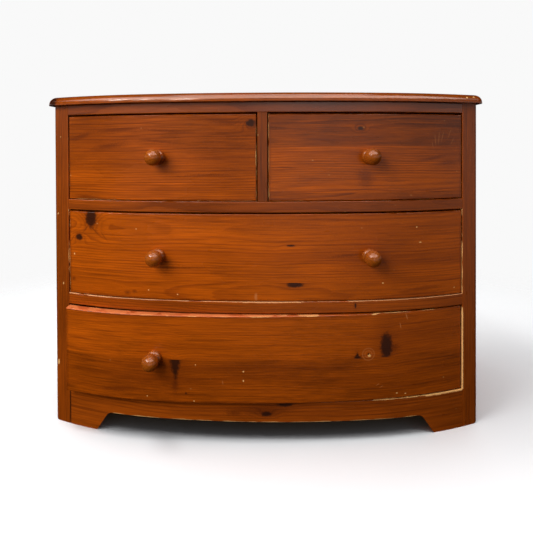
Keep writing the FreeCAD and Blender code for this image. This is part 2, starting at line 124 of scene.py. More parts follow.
upper_right_boards = [Board(upper_floor, 0.495, 0.66), Board(0.495, 0.519, 0.86),
                      Board(0.519, 0.588, 0.83), Board(0.588, top_rail_low, 0.52)]
upper_right_knots = [Knot(0.195, 0.6225, 0.007, 0.0045, 3.0)]
# The tall patch at 0.205 is a painted shadow below the knob; the others are dark streaks in the wood
upper_right_dark_marks_and_knob_shadow = [Mark(0.344, 0.562, 0.062, 0.0050, 10.0), Mark(0.380, 0.553, 0.040, 0.0060, 6.0),
                      Mark(0.205, 0.525, 0.024, 0.0260), Mark(0.050, 0.545, 0.030, 0.0020, -4.0),
                      Mark(0.120, 0.600, 0.070, 0.0040, -3.0)]
upper_right_scratches = [Mark(0.352, 0.600, 0.0007, 0.012, 6.0), Mark(0.360, 0.604, 0.0007, 0.014, -4.0),
                         Mark(0.368, 0.606, 0.0007, 0.012, -14.0), Mark(0.384, 0.612, 0.0007, 0.013, -22.0),
                         Mark(0.391, 0.598, 0.0006, 0.010, -30.0), Mark(0.346, 0.590, 0.0006, 0.007, 12.0)]
middle_boards = [Board(middle_floor, middle_seam, 0.94), Board(middle_seam, upper_rail_low, 1.00)]
middle_slant = 0.0204
middle_knots = [Knot(-0.360, 0.4405, 0.0150, 0.0235, 5.0), Knot(-0.388, 0.399, 0.0095, 0.0078, 4.0),
                Knot(0.056, 0.3905, 0.011, 0.002, 1.0),
                Knot(0.0635, 0.314, 0.019, 0.008, 1.0, -1.0, middle_seam)]
middle_smears = [Mark(-0.403, 0.310, 0.008, 0.006), Mark(-0.277, 0.291, 0.009, 0.006, 10.0),
                 Mark(-0.262, 0.294, 0.008, 0.005, -8.0), Mark(-0.353, 0.416, 0.022, 0.002, -40.0),
                 Mark(-0.372, 0.417, 0.016, 0.002, 50.0), Mark(-0.330, 0.404, 0.020, 0.0015, -50.0),
                 Mark(0.170, 0.370, 0.050, 0.0040, 4.0), Mark(-0.180, 0.345, 0.120, 0.0035, 1.0)]
middle_shades = [Mark(0.240, 0.380, 0.160, 0.1600), Mark(0.060, 0.456, 0.320, 0.0480),
                 Mark(0.220, 0.446, 0.110, 0.0320), Mark(-0.110, 0.448, 0.070, 0.0260)]
middle_chips = [Mark(-0.4005, 0.3625, 0.0016, 0.0018), Mark(0.319, 0.392, 0.0028, 0.0014, 4.0),
                Mark(0.311, 0.423, 0.0016, 0.0016), Mark(0.240, 0.313, 0.0020, 0.0014, 8.0),
                Mark(-0.258, 0.421, 0.0013, 0.0011), Mark(-0.232, 0.298, 0.0013, 0.0013),
                Mark(-0.172, 0.291, 0.0015, 0.0012), Mark(0.395, 0.294, 0.0020, 0.0010, 20.0)]
middle_scratches = [Mark(-0.014, 0.289, 0.0035, 0.0100)]
bottom_boards = [Board(bottom_floor, bottom_seam, 0.68), Board(bottom_seam, lower_rail_low, 0.90)]
bottom_knots = [Knot(0.2465, 0.1860, 0.0140, 0.0320, 2.0, bottom_seam, 1.0),
                Knot(0.187, bottom_seam, 0.009, 0.0135, 1.0, bottom_seam, 1.0, 1.0),
                Knot(-0.1745, bottom_seam, 0.014, 0.052, 1.5, -1.0, bottom_seam, 1.0),
                Knot(-0.153, 0.099, 0.002, 0.002, 0.5)]
bottom_smears = [Mark(-0.176, 0.115, 0.010, 0.018), Mark(0.262, 0.183, 0.018, 0.012),
                 Mark(0.150, 0.2495, 0.060, 0.0016, -2.0), Mark(-0.300, 0.100, 0.060, 0.0060, 4.0)]
bottom_shades = [Mark(0.300, 0.200, 0.140, 0.1000), Mark(-0.240, 0.130, 0.140, 0.0500),
                 Mark(0.000, 0.152, 0.400, 0.0260)]
bottom_chips = [Mark(-0.039, 0.144, 0.0016, 0.0018), Mark(-0.039, 0.126, 0.0014, 0.0020),
                Mark(-0.134, 0.156, 0.0013, 0.0012), Mark(-0.232, 0.090, 0.0013, 0.0012),
                Mark(-0.137, 0.084, 0.0014, 0.0012), Mark(0.2110, 0.1700, 0.0032, 0.0036, 30.0),
                Mark(0.268, 0.0905, 0.0024, 0.0010), Mark(0.286, 0.088, 0.0022, 0.0010),
                Mark(0.222, 0.2515, 0.0060, 0.0012, 2.0)]
bottom_scratches = [Mark(0.289, 0.244, 0.0016, 0.009, 18.0), Mark(0.276, 0.226, 0.0012, 0.007, 12.0),
                    Mark(0.228, 0.1105, 0.0050, 0.0008, 30.0), Mark(0.236, 0.106, 0.0050, 0.0008, 24.0),
                    Mark(-0.080, 0.122, 0.0008, 0.0050, 10.0)]
bottom_rings = [Mark(*bare_hole, 0.012, 0.0016), Mark(*bare_hole, 0.007, 0.0012)]
# Top rail: its low lightness is partly darker stain and partly painted shade under the top's overhang; its
# shades are painted shade where the sheen along the rail fades
top_rail_boards = [Board(top_rail_low, top_board_low, 0.80)]
top_rail_shades = [Mark(0.060, 0.666, 0.160, 0.0800), Mark(-0.420, 0.666, 0.100, 0.0800)]
upper_rail_boards = [Board(upper_rail_low, upper_floor, 0.86)]
upper_rail_shades = [Mark(0.140, 0.467, 0.330, 0.0800), Mark(0.240, 0.467, 0.080, 0.0300)]
lower_rail_boards = [Board(0.0, 0.2, 0.90)]
lower_rail_knots = [Knot(0.184, 0.270, 0.0022, 0.006, 1.0)]
lower_rail_chips = [Mark(0.000, 0.2785, 0.030, 0.0012), Mark(0.060, 0.2785, 0.022, 0.0010)]
apron_boards = [Board(0.0, 0.2, 0.86)]
apron_knots = [Knot(0.006, 0.0560, 0.012, 0.0055, 3.0), Knot(0.043, 0.0755, 0.020, 0.0055, 1.0),
               Knot(-0.4128, 0.040, 0.0014, 0.060, 0.0)]
apron_smears = [Mark(0.000, 0.065, 0.075, 0.020), Mark(-0.058, 0.057, 0.026, 0.008),
                Mark(0.012, 0.057, 0.028, 0.008)]
top_board_lights = (0.80, 0.86, 0.78, 0.84, 0.80)
top_knots = [Knot(-0.448, -0.153, 0.013, 0.009, 2.0)]
# The two marks at the left corner are chips; the two at the right end are painted glints on the moulding
top_board_chips_and_glints = [Mark(-0.456, -0.155, 0.0035, 0.0030), Mark(-0.464, -0.148, 0.0030, 0.0025),
             Mark(0.4205, -0.1622, 0.0030, 0.0013, 28.0), Mark(0.4375, -0.1535, 0.0030, 0.0013, 28.0)]
left_post_boards = [Board(-0.5, -0.4, 0.70)]
left_post_chips = [Mark(0.4455, -0.442, 0.0025, 0.0014), Mark(0.297, -0.429, 0.0025, 0.0013),
                   Mark(0.126, -0.443, 0.0060, 0.0022), Mark(0.610, -0.434, 0.0014, 0.0010)]
right_post_boards = [Board(0.4, 0.5, 0.90)]
divider_boards = [Board(0.0, 0.1, 0.52)]
side_board_lights = (0.96, 1.06, 0.98, 1.03)

# Worn edges on the drawer fronts, and painted shade along their edges next to the gaps: reach from left,
# right, bottom and top, and how unbroken
grime_reaches = (0.006, 0.006, 0.005, 0.005, 0.10)
upper_left_reaches = (0.0008, 0.0020, 0.0012, 0.0, 0.06)
upper_right_reaches = (0.0008, 0.0008, 0.0008, 0.0)
middle_reaches = (0.0010, 0.0010, 0.0, 0.0)
bottom_left_reaches = (0.0, 0.0, 0.0, 0.0022, 0.0)
bottom_right_reaches = (0.0, 0.0, 0.0018, 0.0008, 0.04)
bottom_left_worn_end = 0.12
bottom_right_worn_start = 0.22
# Painted highlight on the upward face of the bottom drawer's top edge: where along the board it fades out
sheen_fade = (-0.05, 0.22)

# Wear on the arrises of the rail, the apron and the posts
lower_rail_arrises = [Arris(-opening_half_width, -0.32, 0.0016, 0.12), Arris(-0.32, -0.04, 0.0011, 0.06),
                      Arris(-0.04, 0.075, 0.0026, 0.20), Arris(0.075, 0.17, 0.0004, -0.06),
                      Arris(0.17, opening_half_width, 0.0014, 0.16)]
apron_upper_arrises = [Arris(0.22, 0.330, 0.0014, 0.1), Arris(0.330, opening_half_width, 0.0034, 0.2)]
apron_lower_arrises = [Arris(-0.31, 0.31, 0.0012, 0.04)]
left_post_arrises = [Arris(middle_floor, upper_rail_low, 0.0016, -0.04)]
right_post_arrises = [Arris(bottom_floor, 0.25, 0.0030, 0.25),
                      Arris(middle_floor, upper_rail_low, 0.0012, 0.0)]
beyond_case = 0.5


# Colours of wood and stain
def srgb(red, green, blue):
    """A colour given from 0 to 255, as a shader colour."""
    shares = [value / 255 for value in (red, green, blue)]
    linear = [s / 12.92 if s <= 0.04045 else ((s + 0.055) / 1.055) ** 2.4 for s in shares]
    return (*linear, 1.0)


stain_early = srgb(188, 85, 6)
stain_late = srgb(140, 58, 5)
stain_dark = srgb(96, 37, 6)
case_early = srgb(168, 76, 10)
case_late = srgb(124, 52, 8)
case_dark = srgb(86, 34, 8)
knot_dark = srgb(42, 18, 9)
knob_early = srgb(168, 84, 18)
knob_late = srgb(122, 54, 10)
knob_dark = srgb(84, 36, 8)
worn_pale = srgb(250, 192, 118)
worn_red = srgb(230, 162, 108)
scratch_pale = srgb(206, 126, 70)
# Colour of the painted highlight on the bottom drawer's top edge
sheen_red = srgb(226, 112, 58)
gloss_tint = srgb(255, 244, 236)
warm_tint = srgb(255, 222, 200)
bare_early = srgb(226, 186, 128)
bare_late = srgb(198, 146, 84)
bare_dark = srgb(170, 118, 66)
bare_knot = srgb(110, 62, 30)
ply_early = srgb(214, 178, 128)
ply_late = srgb(196, 156, 104)
zinc_light = srgb(196, 198, 202)
zinc_dark = srgb(140, 142, 148)


class Graph:
    """Short ways to add nodes to one node tree."""

    def __init__(self, tree):
        self.tree = tree

    def put(self, sockets, inputs):
        for key, value in inputs.items():
            if isinstance(value, bpy.types.NodeSocket):
                self.tree.links.new(value, sockets[key])
            else:
                sockets[key].default_value = value

    def node(self, kind, inputs=None, **settings):
        made = self.tree.nodes.new(kind)
        for key, value in settings.items():
            setattr(made, key, value)
        self.put(made.inputs, inputs or {})
        return made

    def math(self, operation, first, second=0.0):
        return self.node("ShaderNodeMath", {0: first, 1: second}, operation=operation).outputs[0]

    def add(self, first, second):
        return self.math("ADD", first, second)

    def subtract(self, first, second):
        return self.math("SUBTRACT", first, second)

    def multiply(self, first, second):
        return self.math("MULTIPLY", first, second)

    def divide(self, first, second):
        return self.math("DIVIDE", first, second)

    def maximum(self, first, second):
        return self.math("MAXIMUM", first, second)

    def inverse(self, value):
        return self.math("SUBTRACT", 1.0, value)

    def vectors(self, operation, first, second):
        return self.node("ShaderNodeVectorMath", {0: first, 1: second}, operation=operation).outputs[0]

    def dot(self, first, second):
        made = self.node("ShaderNodeVectorMath", {0: first, 1: second}, operation="DOT_PRODUCT")
        return made.outputs["Value"]

    def length(self, vector):
        return self.node("ShaderNodeVectorMath", {0: vector}, operation="LENGTH").outputs["Value"]

    def combine(self, x, y, z):
        return self.node("ShaderNodeCombineXYZ", {0: x, 1: y, 2: z}).outputs[0]

    def separate(self, vector):
        return self.node("ShaderNodeSeparateXYZ", {0: vector}).outputs[:3]

    def rise(self, value, low, high):
        """A smooth climb from 0 where the value is low to 1 where it is high."""
        inputs = {"Value": value, "From Min": low, "From Max": high}
        return self.node("ShaderNodeMapRange", inputs, interpolation_type="SMOOTHSTEP").outputs[0]

    def fall(self, value, low, high):
        return self.inverse(self.rise(value, low, high))

    def spread(self, value, low, high):
        """A straight change from low to high as the value goes from 0 to 1."""
        return self.node("ShaderNodeMapRange", {"Value": value, "To Min": low, "To Max": high}).outputs[0]

    def between(self, value, low, high):
        """1 where the value lies between two limits, 0 elsewhere."""
        return self.multiply(self.math("GREATER_THAN", value, low), self.math("LESS_THAN", value, high))

    def noise(self, vector, detail=2.0, roughness=0.5):
        inputs = {"Vector": vector, "Scale": 1.0, "Detail": detail, "Roughness": roughness}
        return self.node("ShaderNodeTexNoise", inputs).outputs[0]

    def sway(self, vector, detail=2.0):
        """Noise about zero."""
        return self.subtract(self.noise(vector, detail), 0.5)

    def stretched(self, place, size):
        """A place measured in grains of one length and width."""
        long_size, wide_size = size
        return self.vectors("DIVIDE", place, (long_size, wide_size, wide_size))

    def chance(self, value):
        """Random values from one number."""
        return self.node("ShaderNodeTexWhiteNoise", {"W": value}, noise_dimensions="1D").outputs

    def mix(self, share, first, second):
        return self.node("ShaderNodeMix", {0: share, 6: first, 7: second}, data_type="RGBA").outputs[2]

    def group(self, tree, inputs):
        made = self.node("ShaderNodeGroup", node_tree=tree)
        self.put(made.inputs, inputs)
        return made.outputs


VECTOR = "NodeSocketVector"
FLOAT = "NodeSocketFloat"


def new_group(name, inputs, outputs):
    """A node group with named sockets, its input node and its output node."""
    tree = bpy.data.node_groups.new(name, "ShaderNodeTree")
    for socket, kind in inputs:
        tree.interface.new_socket(socket, in_out="INPUT", socket_type=kind)
    for socket in outputs:
        tree.interface.new_socket(socket, in_out="OUTPUT", socket_type=FLOAT)
    graph = Graph(tree)
    return graph, graph.node("NodeGroupInput").outputs, graph.node("NodeGroupOutput").inputs


def make_grain_group():
    """Solid wood: growth rings round a wandering pith, streaks, bands, fibres and a mottled stain."""
    sockets = [("Place", VECTOR), ("Board", FLOAT), ("Middle", FLOAT), ("Spacing", FLOAT)]
    sockets += [("Pith depth", FLOAT), ("Swirl", FLOAT), ("Seed", FLOAT)]
    wanted_names = ["Ring", "Streak", "Band", "Fibre", "Pore", "Mottle", "Speck"]
    graph, given, wanted = new_group("pine_grain", sockets, wanted_names)
    place = given["Place"]
    along, across, depth = graph.separate(place)
    luck = graph.chance(graph.add(graph.multiply(given["Board"], 3.7), given["Seed"]))
    luck_across, luck_deep, _ = graph.node("ShaderNodeSeparateColor", {0: luck["Color"]}).outputs
    own = graph.multiply(luck["Value"], 40.0)

    # The pith wanders along the board, so the rings show as long flames
    far = graph.divide(along, wander_length)
    wander = graph.multiply(graph.sway(graph.combine(far, own, given["Seed"]), 1.0), pith_wander)
    dive = graph.multiply(graph.sway(graph.combine(far, given["Seed"], own), 1.0), pith_wander)
    aside = graph.multiply(graph.subtract(luck_across, 0.5), pith_offset)
    ring_across = graph.add(graph.subtract(graph.subtract(across, given["Middle"]), aside), wander)
    deep = graph.multiply(given["Pith depth"], graph.spread(luck_deep, 0.5, 1.5))
    ring_depth = graph.add(graph.add(depth, deep), dive)
    radius = graph.length(graph.combine(ring_across, ring_depth, 0.0))
    wobble = graph.multiply(graph.sway(graph.stretched(place, wobble_size)), ring_wobble)
    jitter = graph.multiply(graph.sway(graph.stretched(place, jitter_size)), ring_jitter)
    bent = graph.add(graph.add(radius, wobble), jitter)
    phase = graph.add(graph.add(graph.divide(bent, given["Spacing"]), given["Swirl"]), own)
    share = graph.math("FRACT", phase)
    late = graph.multiply(graph.rise(share, 0.35, 0.90), graph.fall(share, 0.92, 1.0))
    year = graph.chance(graph.add(graph.math("FLOOR", phase), given["Seed"]))["Value"]
    band_length, band_width = band_size
    band_place = graph.combine(graph.divide(along, band_length), graph.divide(bent, band_width), own)
    cell = graph.node("ShaderNodeTexVoronoi", {"Vector": graph.stretched(place, speck_size), "Scale": 1.0})
    cell_luck = graph.separate(cell.outputs["Color"])[0]
    speck = graph.fall(cell.outputs["Distance"], 0.025, 0.075)
    speck = graph.multiply(speck, graph.rise(cell_luck, 0.6, 0.9))
    found = {"Ring": graph.multiply(late, graph.spread(year, 0.2, 1.0)),
             "Streak": graph.noise(graph.stretched(place, streak_size), 4.0, 0.62),
             "Band": graph.noise(band_place, 3.0, 0.55),
             "Fibre": graph.noise(graph.stretched(place, fibre_size), 3.0, 0.65),
             "Pore": graph.noise(graph.stretched(place, pore_size)),
             "Mottle": graph.noise(graph.stretched(place, mottle_size), 3.0, 0.55),
             "Speck": speck}
    for output, value in found.items():
        graph.tree.links.new(value, wanted[output])
    return graph.tree


def make_knot_group():
    """One knot: its dark core, and the halo that pushes the rings aside."""
    sockets = [("Place", VECTOR), ("Centre", VECTOR), ("Squeeze", VECTOR), ("Pointed", FLOAT)]
    graph, given, wanted = new_group("pine_knot", sockets, ["Core", "Halo"])
    apart = graph.vectors("SUBTRACT", given["Place"], given["Centre"])
    ragged = graph.sway(graph.stretched(given["Place"], knot_torn_size))
    steps = graph.vectors("MULTIPLY", apart, given["Squeeze"])
    reach = graph.length(steps)
    corner = graph.subtract(graph.dot(graph.vectors("ABSOLUTE", steps, steps), (1.0, 1.0, 0.0)), reach)
    reach = graph.add(reach, graph.multiply(corner, given["Pointed"]))
    core = graph.fall(graph.add(reach, graph.multiply(ragged, 0.8)), 0.55, 1.12)
    near = graph.maximum(graph.inverse(graph.multiply(reach, 0.30)), 0.0)
    graph.put(wanted, {"Core": core, "Halo": graph.multiply(near, near)})
    return graph.tree


def make_mark_group():
    """One mark: a chip, scratch, smear, soft shade, painted glint or painted shadow, as a torn ellipse
    turned in the face.
    """
    sockets = [("Place", VECTOR), ("Centre", VECTOR), ("Squeeze", VECTOR), ("Turn", FLOAT), ("Core", FLOAT)]
    graph, given, wanted = new_group("pine_mark", sockets, ["Mask"])
    apart = graph.vectors("SUBTRACT", given["Place"], given["Centre"])
    inputs = {"Vector": apart, "Angle": given["Turn"]}
    turned = graph.node("ShaderNodeVectorRotate", inputs, rotation_type="Z_AXIS").outputs[0]
    reach = graph.length(graph.vectors("MULTIPLY", turned, given["Squeeze"]))
    torn = graph.add(reach, graph.sway(graph.stretched(given["Place"], mark_torn_size)))
    graph.put(wanted, {"Mask": graph.fall(torn, given["Core"], 1.15)})
    return graph.tree


def make_worn_and_shaded_edge_group():
    """A broken band along the four edges of a face, each with its own reach: pale wear, and painted shade
    at the edges of the drawer fronts.
    """
    sides = ("Left", "Right", "Bottom", "Top")
    sockets = [("Place", VECTOR), ("Low", VECTOR), ("High", VECTOR), ("Fill", FLOAT), ("Deep", FLOAT)]
    sockets += [(side, FLOAT) for side in sides]
    graph, given, wanted = new_group("worn_and_shaded_edge", sockets, ["Mask"])
    along, across, depth = graph.separate(given["Place"])
    low_along, low_across, _ = graph.separate(given["Low"])
    high_along, high_across, _ = graph.separate(given["High"])
    patches = graph.noise(graph.stretched(given["Place"], wear_patch_size))
    crumbs = graph.noise(graph.stretched(given["Place"], wear_crumb_size))
    loss = graph.rise(graph.add(patches, given["Fill"]), 0.40, 0.66)
    loss = graph.multiply(loss, graph.spread(crumbs, 0.3, 1.7))
    gaps = [graph.subtract(along, low_along), graph.subtract(high_along, along),
            graph.subtract(across, low_across), graph.subtract(high_across, across)]
    mask = 0.0
    for side, gap in zip(sides, gaps):
        reach = graph.add(graph.multiply(given[side], loss), least_reach)
        worn = graph.fall(graph.divide(gap, reach), 0.55, 1.0)
        worn = graph.multiply(worn, graph.rise(loss, 0.05, 0.25))
        mask = graph.maximum(mask, graph.multiply(worn, graph.math("GREATER_THAN", given[side], 0.0)))
    mask = graph.multiply(mask, graph.between(along, low_along, high_along))
    mask = graph.multiply(mask, graph.math("LESS_THAN", depth, given["Deep"]))
    graph.put(wanted, {"Mask": mask})
    return graph.tree


grain_group = make_grain_group()
knot_group = make_knot_group()
mark_group = make_mark_group()
worn_and_shaded_edge_group = make_worn_and_shaded_edge_group()


def place_in_board(graph, layout):
    """Coordinates along the grain, across it and into the board."""
    x, y, z = graph.separate(graph.node("ShaderNodeTexCoord").outputs["Object"])
    if layout == "bowed":
        out = graph.divide(graph.math("ABSOLUTE", x), case_half_width)
        back = graph.multiply(graph.math("POWER", out, bow_power), bow_depth)
        return graph.combine(x, z, graph.subtract(graph.subtract(y, bow_crown_y), back))
    orders = {"post": (z, x, y), "side": (z, y, x), "lid": (x, y, z), "deep": (y, z, x), "wide": (x, z, y)}
    return graph.combine(*orders[layout])


def even_boards(low, high, lights):
    """Boards of one width, one for each lightness."""
    width = (high - low) / len(lights)
    return [Board(low + n * width, low + (n + 1) * width, light) for n, light in enumerate(lights)]


def board_at(graph, across, boards):
    """Number, middle and lightness of the board at one place across the face."""
    number = 0.0
    middle = (boards[0].low + boards[0].high) / 2
    light = boards[0].light
    for before, board in zip(boards, boards[1:]):
        reach = max(board.blend, seam_width)
        fading = graph.rise(across, board.low - reach, board.low + reach)
        light = graph.add(light, graph.multiply(fading, board.light - before.light))
        if board.blend == 0.0:
            past = graph.math("GREATER_THAN", across, board.low)
            number = graph.add(number, past)
            middle = graph.add(middle, graph.multiply(past, (board.high - before.low) / 2))
    return number, middle, light


def new_material(name):
    material = bpy.data.materials.new(name)
    material.use_nodes = True
    graph = Graph(material.node_tree)
    return material, graph, material.node_tree.nodes["Principled BSDF"].inputs


Wood = namedtuple("Wood", "early late dark knot gloss contrast")
stained = Wood(stain_early, stain_late, stain_dark, knot_dark, (0.22, 0.34), 1.0)
smooth_stained = stained._replace(contrast=0.6)
case_wood = Wood(case_early, case_late, case_dark, knot_dark, (0.22, 0.34), 0.85)
top_wood = Wood(case_early, case_late, case_dark, knot_dark, (0.14, 0.24), 0.75)
turned_wood = Wood(knob_early, knob_late, knob_dark, knot_dark, (0.16, 0.28), 1.0)
bare = Wood(bare_early, bare_late, bare_dark, bare_knot, (0.50, 0.70), 0.75)
ply = Wood(ply_early, ply_late, bare_dark, bare_knot, (0.55, 0.75), 0.6)
one_board = [Board(0.0, 0.2, 1.0)]
backward = (0.0, 1.0, 0.0)
upward_direction = (0.0, 0.0, 1.0)


def marks_on(graph, place, marks, core, mask=0.0):
    """A mask with a list of marks added, each full within its core."""
    for mark in marks:
        squeeze = (1 / mark.half_length, 1 / mark.half_height, 0.0)
        inputs = {"Place": place, "Centre": (mark.along, mark.across, 0.0), "Squeeze": squeeze}
        inputs.update({"Turn": math.radians(-mark.turn), "Core": core})
        mask = graph.maximum(mask, graph.group(mark_group, inputs)["Mask"])
    return mask


def rings_on(graph, place, rings):
    """One mask for a list of round imprints: half length is the radius, half height the line."""
    mask = 0.0
    for ring in rings:
        apart = graph.vectors("SUBTRACT", place, (ring.along, ring.across, 0.0))
        out = graph.length(graph.vectors("MULTIPLY", apart, (1.0, 1.0, 0.0)))
        off = graph.math("ABSOLUTE", graph.subtract(out, ring.half_length))
        mask = graph.maximum(mask, graph.fall(off, 0.0, ring.half_height))
    return mask


def worn_and_shaded_edges_on(graph, place, zones):
    """One mask for a list of edge bands: worn edges, and painted edge shade."""
    mask = 0.0
    for zone in zones:
        inputs = {"Place": place, "Low": (*zone.low, 0.0), "High": (*zone.high, 0.0)}
        inputs.update({"Left": zone.left, "Right": zone.right, "Bottom": zone.bottom, "Top": zone.top})
        inputs.update({"Fill": zone.fill, "Deep": zone.deep})
        mask = graph.maximum(mask, graph.group(worn_and_shaded_edge_group, inputs)["Mask"])
    return mask


def laid_over(graph, mask, share, colour, other):
    """A colour with another laid over it; an empty mask changes nothing."""
    if mask == 0.0:
        return colour
    return graph.mix(graph.multiply(mask, share), colour, other)


def pine(name, wood, layout, seed, boards=one_board, slant=0.0, spacing=ring_spacing, pith=pith_depth,
         knots=(), smears=(), shades=(), chips=(), scratches=(), rings=(), wear=(), grime=(),
         worn_colour=worn_pale, bare_facing=None, rubbed_top=None):
    """A pine with its grain, boards, knots and wear: the material and its shader's sockets."""
    material, graph, shader = new_material(name)
    place = place_in_board(graph, layout)
    along, across, _ = graph.separate(place)
    level = graph.add(across, graph.multiply(along, slant))
    core = 0.0
    halo = 0.0
    swirl = 0.0
    for knot in knots:
        squeeze = (1 / knot.half_length, 1 / knot.half_height, 0.0)
        inputs = {"Place": place, "Centre": (knot.along, knot.across, 0.0), "Squeeze": squeeze}
        inputs["Pointed"] = knot.pointed
        found = graph.group(knot_group, inputs)
        shown = graph.between(level, knot.low, knot.high)
        core = graph.maximum(core, graph.multiply(found["Core"], shown))
        halo = graph.maximum(halo, graph.multiply(found["Halo"], shown))
        swirl = graph.add(swirl, graph.multiply(found["Halo"], knot.swirl))
    number, middle, light = board_at(graph, level, boards)
    inputs = {"Place": place, "Board": number, "Middle": middle, "Spacing": spacing, "Pith depth": pith}
    inputs.update({"Swirl": swirl, "Seed": seed})
    ring, streak, band, fibre, pore, mottle, speck = graph.group(grain_group, inputs)

    colour = graph.mix(graph.multiply(ring, wood.contrast), wood.early, wood.late)
    colour = laid_over(graph, graph.rise(streak, 0.46, 0.74), streak_share, colour, wood.dark)
    colour = laid_over(graph, graph.rise(band, 0.45, 0.72), band_share, colour, wood.late)
    colour = laid_over(graph, graph.rise(pore, 0.56, 0.75), pore_share, colour, wood.dark)
    flecks = graph.multiply(graph.subtract(fibre, 0.5), 0.9)
    clouds = graph.multiply(graph.subtract(mottle, 0.5), 0.7)
    lightness = graph.add(graph.add(light, flecks), clouds)
    colour = graph.node("ShaderNodeHueSaturation", {"Value": lightness, "Color": colour}).outputs[0]
    # Dark smears in the wood; on the upper right drawer the list also holds a painted knob shadow
    colour = laid_over(graph, marks_on(graph, place, smears, 0.0), smear_share, colour, wood.dark)
    # Painted shade: the soft patches of the shades lists and a darker band along the edges of each drawer
    # front, laid over in the dark stain colour
    shaded = marks_on(graph, place, shades, 0.0, worn_and_shaded_edges_on(graph, place, grime))
    colour = laid_over(graph, shaded, shade_share, colour, wood.dark)
    colour = laid_over(graph, halo, halo_share, colour, wood.dark)
    colour = laid_over(graph, core, core_share, colour, wood.knot)
    colour = laid_over(graph, speck, speck_share, colour, worn_pale)
    colour = laid_over(graph, marks_on(graph, place, scratches, 0.4), scratch_share, colour, scratch_pale)
    colour = laid_over(graph, rings_on(graph, place, rings), imprint_share, colour, scratch_pale)
    # Pale worn chips and edges; on the top board the chips list also holds painted glints
    worn = marks_on(graph, place, chips, 0.6, worn_and_shaded_edges_on(graph, place, wear))
    colour = laid_over(graph, worn, worn_share, colour, worn_colour)
    roughness = graph.add(graph.spread(mottle, *wood.gloss), graph.multiply(worn, 0.2))
    normal = graph.node("ShaderNodeNewGeometry").outputs["True Normal"]
    # Painted highlight: the upward face of the top edge turns lighter and redder, fading along the board,
    # standing for the lacquer's sheen there
    if rubbed_top is not None:
        upward_share = graph.rise(graph.dot(normal, upward_direction), 0.3, 0.7)
        rubbed = graph.multiply(upward_share, graph.fall(along, *rubbed_top))
        colour = laid_over(graph, rubbed, sheen_share, colour, sheen_red)
    if bare_facing is not None:
        unfinished = graph.rise(graph.dot(normal, bare_facing), 0.55, 0.75)
        plain = graph.mix(graph.multiply(ring, 0.8), bare_early, bare_late)
        colour = graph.mix(unfinished, colour, plain)
        roughness = graph.add(roughness, graph.multiply(unfinished, 0.25))
    height = graph.add(graph.multiply(ring, 0.35), graph.multiply(fibre, 0.45))
    height = graph.subtract(height, graph.multiply(graph.add(core, worn), 0.5))
    bump = graph.node("ShaderNodeBump", {"Strength": 0.25, "Distance": grain_relief, "Height": height})
    graph.put(shader, {"Base Color": colour, "Roughness": roughness, "Normal": bump.outputs[0]})
    return material, shader


def finish(made, specular, coat=0.0, coat_roughness=0.0, tint=gloss_tint):
    """Lacquer of one gloss on a wood."""
    material, shader = made
    shader["Specular IOR Level"].default_value = specular
    shader["Specular Tint"].default_value = tint
    shader["Coat Weight"].default_value = coat
    shader["Coat Roughness"].default_value = coat_roughness
    return material


def satin(*args, specular=0.30, **kwargs):
    """Stained pine under satin lacquer."""
    return finish(pine(*args, **kwargs), specular)


def bare_pine(*args, **kwargs):
    """Pine without stain or lacquer."""
    material, shader = pine(*args, **kwargs)
    shader["Specular IOR Level"].default_value = 0.25
    return material


post_worn_y = bow_crown_y + bow_depth + post_worn_depth
long_front = opening_half_width - side_gap
short_front = divider_half_width + side_gap


def front_worn_and_shaded_edge(low_along, high_along, floor, reaches):
    """A band along the edges of one stretch of a drawer front, for wear and for painted edge shade."""
    return WornAndShadedEdge((low_along, floor + front_low_gap), (high_along, floor + front_high_gap), *reaches)


# Drawer fronts
upper_left_pine = satin(
    "upper_left_drawer_pine", stained, "bowed", 3.0, upper_left_boards, knots=upper_left_knots,
    smears=upper_left_smears, shades=upper_left_shades, bare_facing=backward, specular=0.22,
    grime=[front_worn_and_shaded_edge(-long_front, -short_front, upper_floor, grime_reaches)],
    wear=[front_worn_and_shaded_edge(-long_front, -short_front, upper_floor, upper_left_reaches)])
upper_right_pine = satin(
    "upper_right_drawer_pine", stained, "bowed", 7.0, upper_right_boards, knots=upper_right_knots,
    smears=upper_right_dark_marks_and_knob_shadow, scratches=upper_right_scratches, bare_facing=backward,
    grime=[front_worn_and_shaded_edge(short_front, long_front, upper_floor, grime_reaches)],
    wear=[front_worn_and_shaded_edge(short_front, long_front, upper_floor, upper_right_reaches)])
middle_pine = satin(
    "middle_drawer_pine", stained, "bowed", 14.0, middle_boards, middle_slant, knots=middle_knots,
    smears=middle_smears, shades=middle_shades, chips=middle_chips, scratches=middle_scratches,
    bare_facing=backward, specular=0.25,
    grime=[front_worn_and_shaded_edge(-long_front, long_front, middle_floor, grime_reaches)],
    wear=[front_worn_and_shaded_edge(-long_front, long_front, middle_floor, middle_reaches)])
bottom_pine = satin(
    "bottom_drawer_pine", smooth_stained, "bowed", 21.0, bottom_boards, knots=bottom_knots,
    smears=bottom_smears, shades=bottom_shades, chips=bottom_chips, scratches=bottom_scratches,
    rings=bottom_rings, bare_facing=backward, rubbed_top=sheen_fade,
    grime=[front_worn_and_shaded_edge(-long_front, long_front, bottom_floor, grime_reaches)],
    wear=[front_worn_and_shaded_edge(-long_front, bottom_left_worn_end, bottom_floor, bottom_left_reaches),
          front_worn_and_shaded_edge(bottom_right_worn_start, long_front, bottom_floor, bottom_right_reaches)])

